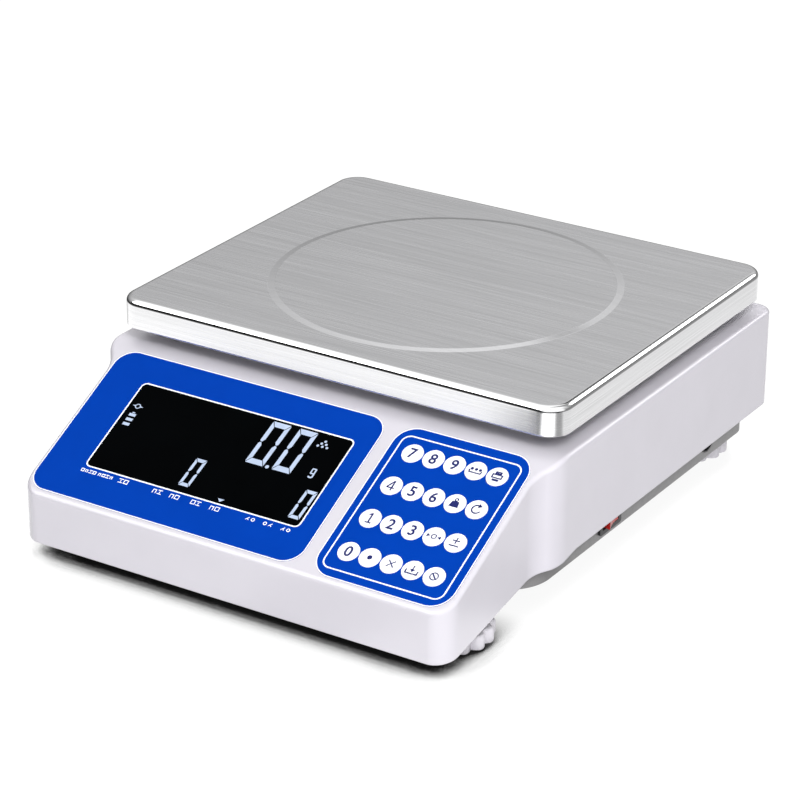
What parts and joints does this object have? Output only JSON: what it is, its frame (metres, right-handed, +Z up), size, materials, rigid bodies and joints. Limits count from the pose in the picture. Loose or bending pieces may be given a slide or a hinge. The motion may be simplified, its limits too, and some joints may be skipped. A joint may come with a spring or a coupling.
{
  "type": "counting scale",
  "caption": "Desktop counting scale: a brushed steel pan on a load cell, over a white housing with a sloped front panel holding a dark display and a round-key keypad.",
  "frame": {"origin": "on the table the feet stand on, under the centre of the bounding box", "axes": "+Z up; -Y towards the user, who faces the sloped panel; +X to the user's right, the side with the power switch and inlet"},
  "size_m": [0.298, 0.3516, 0.119],
  "materials": {
    "white_plastic": "satin moulded ABS, off-white",
    "white_key": "satin white film over a cap",
    "white_foot": "satin moulded plastic",
    "blue_film": "satin printed polyester film",
    "dark_window": "gloss black tinted window",
    "display_glass": "dark display glass on its board",
    "stainless": "brushed stainless steel, grain along X",
    "cell_aluminium": "cast or milled, satin",
    "grey_base": "satin grey paint",
    "pad_rubber": "matt black rubber",
    "foot_rubber": "matt pale grey rubber",
    "black_plastic": "satin black plastic",
    "red_plastic": "glossy red plastic",
    "circuit_green": "circuit board with a green coating",
    "zinc_steel": "bright zinc-plated steel",
    "battery_case": "satin dark grey battery case"
  },
  "bodies": {
    "housing": {"top_cover": "white_plastic", "base_tray": "grey_base", "display_overlay": "blue_film", "display_window": "dark_window", "display_module": "display_glass", "keypad_overlay": "blue_film", "keypad_board": "circuit_green", "main_board": "circuit_green", "battery": "battery_case", "battery_strap": "zinc_steel", "load_cell": "cell_aluminium", "fixed_end_spacer": "zinc_steel", "fixed_end_bolt_1": "zinc_steel", "fixed_end_bolt_2": "zinc_steel", "overload_stop": "zinc_steel", "switch_housing": "black_plastic", "power_inlet": "black_plastic", "cover_screw_front_left": "zinc_steel", "cover_screw_front_right": "zinc_steel", "cover_screw_rear_left": "zinc_steel", "cover_screw_rear_right": "zinc_steel"},
    "platform": {"pan_support": "cell_aluminium", "live_end_spacer": "zinc_steel", "live_end_bolt_1": "zinc_steel", "live_end_bolt_2": "zinc_steel", "pan_pad_1": "pad_rubber", "pan_pad_2": "pad_rubber", "pan_pad_3": "pad_rubber", "pan_pad_4": "pad_rubber"},
    "pan": {"weighing_pan": "stainless"},
    "rocker": {"switch_rocker": "red_plastic"},
    "key_7_body": {"key_7": "white_key"},
    "key_8_body": {"key_8": "white_key"},
    "key_9_body": {"key_9": "white_key"},
    "key_sample_body": {"key_sample": "white_key"},
    "key_print_setup_body": {"key_print_setup": "white_key"},
    "key_4_body": {"key_4": "white_key"},
    "key_5_body": {"key_5": "white_key"},
    "key_6_body": {"key_6": "white_key"},
    "key_unit_weight_body": {"key_unit_weight": "white_key"},
    "key_recall_body": {"key_recall": "white_key"},
    "key_1_body": {"key_1": "white_key"},
    "key_2_body": {"key_2": "white_key"},
    "key_3_body": {"key_3": "white_key"},
    "key_zero_body": {"key_zero": "white_key"},
    "key_accumulate_body": {"key_accumulate": "white_key"},
    "key_0_body": {"key_0": "white_key"},
    "key_point_body": {"key_point": "white_key"},
    "key_clear_body": {"key_clear": "white_key"},
    "key_tare_body": {"key_tare": "white_key"},
    "key_cancel_body": {"key_cancel": "white_key"},
    "pad_front_left": {"foot_pad_front_left": "foot_rubber"},
    "knob_front_left": {"foot_knob_front_left": "white_foot"},
    "pad_front_right": {"foot_pad_front_right": "foot_rubber"},
    "knob_front_right": {"foot_knob_front_right": "white_foot"},
    "pad_rear_left": {"foot_pad_rear_left": "foot_rubber"},
    "knob_rear_left": {"foot_knob_rear_left": "white_foot"},
    "pad_rear_right": {"foot_pad_rear_right": "foot_rubber"},
    "knob_rear_right": {"foot_knob_rear_right": "white_foot"}
  },
  "joints": [
    {"name": "weighing_deflection", "type": "slide", "parent": "housing", "child": "platform", "axis": [0, 0, -1], "range_m": [0, 0.0002], "stiffness_N_per_m": 200000, "springref_m": -0.0001},
    {"name": "pan_lift", "type": "slide", "parent": "platform", "child": "pan", "axis": [0, 0, 1], "range_m": [0, 0.025]},
    {"name": "power_rocker", "type": "hinge", "parent": "housing", "child": "rocker", "pos_m": [0.1396, -0.0076, 0.0288], "axis": [0, 0, 1], "range_deg": [-24, 0]},
    {"name": "key_7_press", "type": "slide", "parent": "housing", "child": "key_7_body", "axis": [0, 0.4571, -0.8894], "range_m": [0, 0.0005], "stiffness_N_per_m": 2000, "springref_m": -0.0005},
    {"name": "key_8_press", "type": "slide", "parent": "housing", "child": "key_8_body", "axis": [0, 0.4571, -0.8894], "range_m": [0, 0.0005], "stiffness_N_per_m": 2000, "springref_m": -0.0005},
    {"name": "key_9_press", "type": "slide", "parent": "housing", "child": "key_9_body", "axis": [0, 0.4571, -0.8894], "range_m": [0, 0.0005], "stiffness_N_per_m": 2000, "springref_m": -0.0005},
    {"name": "key_sample_press", "type": "slide", "parent": "housing", "child": "key_sample_body", "axis": [0, 0.4571, -0.8894], "range_m": [0, 0.0005], "stiffness_N_per_m": 2000, "springref_m": -0.0005},
    {"name": "key_print_setup_press", "type": "slide", "parent": "housing", "child": "key_print_setup_body", "axis": [0, 0.4571, -0.8894], "range_m": [0, 0.0005], "stiffness_N_per_m": 2000, "springref_m": -0.0005},
    {"name": "key_4_press", "type": "slide", "parent": "housing", "child": "key_4_body", "axis": [0, 0.4571, -0.8894], "range_m": [0, 0.0005], "stiffness_N_per_m": 2000, "springref_m": -0.0005},
    {"name": "key_5_press", "type": "slide", "parent": "housing", "child": "key_5_body", "axis": [0, 0.4571, -0.8894], "range_m": [0, 0.0005], "stiffness_N_per_m": 2000, "springref_m": -0.0005},
    {"name": "key_6_press", "type": "slide", "parent": "housing", "child": "key_6_body", "axis": [0, 0.4571, -0.8894], "range_m": [0, 0.0005], "stiffness_N_per_m": 2000, "springref_m": -0.0005},
    {"name": "key_unit_weight_press", "type": "slide", "parent": "housing", "child": "key_unit_weight_body", "axis": [0, 0.4571, -0.8894], "range_m": [0, 0.0005], "stiffness_N_per_m": 2000, "springref_m": -0.0005},
    {"name": "key_recall_press", "type": "slide", "parent": "housing", "child": "key_recall_body", "axis": [0, 0.4571, -0.8894], "range_m": [0, 0.0005], "stiffness_N_per_m": 2000, "springref_m": -0.0005},
    {"name": "key_1_press", "type": "slide", "parent": "housing", "child": "key_1_body", "axis": [0, 0.4571, -0.8894], "range_m": [0, 0.0005], "stiffness_N_per_m": 2000, "springref_m": -0.0005},
    {"name": "key_2_press", "type": "slide", "parent": "housing", "child": "key_2_body", "axis": [0, 0.4571, -0.8894], "range_m": [0, 0.0005], "stiffness_N_per_m": 2000, "springref_m": -0.0005},
    {"name": "key_3_press", "type": "slide", "parent": "housing", "child": "key_3_body", "axis": [0, 0.4571, -0.8894], "range_m": [0, 0.0005], "stiffness_N_per_m": 2000, "springref_m": -0.0005},
    {"name": "key_zero_press", "type": "slide", "parent": "housing", "child": "key_zero_body", "axis": [0, 0.4571, -0.8894], "range_m": [0, 0.0005], "stiffness_N_per_m": 2000, "springref_m": -0.0005},
    {"name": "key_accumulate_press", "type": "slide", "parent": "housing", "child": "key_accumulate_body", "axis": [0, 0.4571, -0.8894], "range_m": [0, 0.0005], "stiffness_N_per_m": 2000, "springref_m": -0.0005},
    {"name": "key_0_press", "type": "slide", "parent": "housing", "child": "key_0_body", "axis": [0, 0.4571, -0.8894], "range_m": [0, 0.0005], "stiffness_N_per_m": 2000, "springref_m": -0.0005},
    {"name": "key_point_press", "type": "slide", "parent": "housing", "child": "key_point_body", "axis": [0, 0.4571, -0.8894], "range_m": [0, 0.0005], "stiffness_N_per_m": 2000, "springref_m": -0.0005},
    {"name": "key_clear_press", "type": "slide", "parent": "housing", "child": "key_clear_body", "axis": [0, 0.4571, -0.8894], "range_m": [0, 0.0005], "stiffness_N_per_m": 2000, "springref_m": -0.0005},
    {"name": "key_tare_press", "type": "slide", "parent": "housing", "child": "key_tare_body", "axis": [0, 0.4571, -0.8894], "range_m": [0, 0.0005], "stiffness_N_per_m": 2000, "springref_m": -0.0005},
    {"name": "key_cancel_press", "type": "slide", "parent": "housing", "child": "key_cancel_body", "axis": [0, 0.4571, -0.8894], "range_m": [0, 0.0005], "stiffness_N_per_m": 2000, "springref_m": -0.0005},
    {"name": "foot_height_front_left", "type": "slide", "parent": "housing", "child": "pad_front_left", "axis": [0, 0, -1], "range_m": [-0.005, 0.008]},
    {"name": "foot_turn_front_left", "type": "hinge", "parent": "pad_front_left", "child": "knob_front_left", "pos_m": [-0.1115, -0.1273, 0.0055], "axis": [0, 0, -1], "range_deg": [-1440, 2304]},
    {"name": "foot_height_front_right", "type": "slide", "parent": "housing", "child": "pad_front_right", "axis": [0, 0, -1], "range_m": [-0.005, 0.008]},
    {"name": "foot_turn_front_right", "type": "hinge", "parent": "pad_front_right", "child": "knob_front_right", "pos_m": [0.1115, -0.1273, 0.0055], "axis": [0, 0, -1], "range_deg": [-1440, 2304]},
    {"name": "foot_height_rear_left", "type": "slide", "parent": "housing", "child": "pad_rear_left", "axis": [0, 0, -1], "range_m": [-0.005, 0.008]},
    {"name": "foot_turn_rear_left", "type": "hinge", "parent": "pad_rear_left", "child": "knob_rear_left", "pos_m": [-0.107, 0.1511, 0.0055], "axis": [0, 0, -1], "range_deg": [-1440, 2304]},
    {"name": "foot_height_rear_right", "type": "slide", "parent": "housing", "child": "pad_rear_right", "axis": [0, 0, -1], "range_m": [-0.005, 0.008]},
    {"name": "foot_turn_rear_right", "type": "hinge", "parent": "pad_rear_right", "child": "knob_rear_right", "pos_m": [0.107, 0.1511, 0.0055], "axis": [0, 0, -1], "range_deg": [-1440, 2304]}
  ],
  "couplings": [
    {"joint": "foot_height_front_left", "follows": "foot_turn_front_left", "m_per_rad": 0.00019889},
    {"joint": "foot_height_front_right", "follows": "foot_turn_front_right", "m_per_rad": 0.00019889},
    {"joint": "foot_height_rear_left", "follows": "foot_turn_rear_left", "m_per_rad": 0.00019889},
    {"joint": "foot_height_rear_right", "follows": "foot_turn_rear_right", "m_per_rad": 0.00019889}
  ]
}
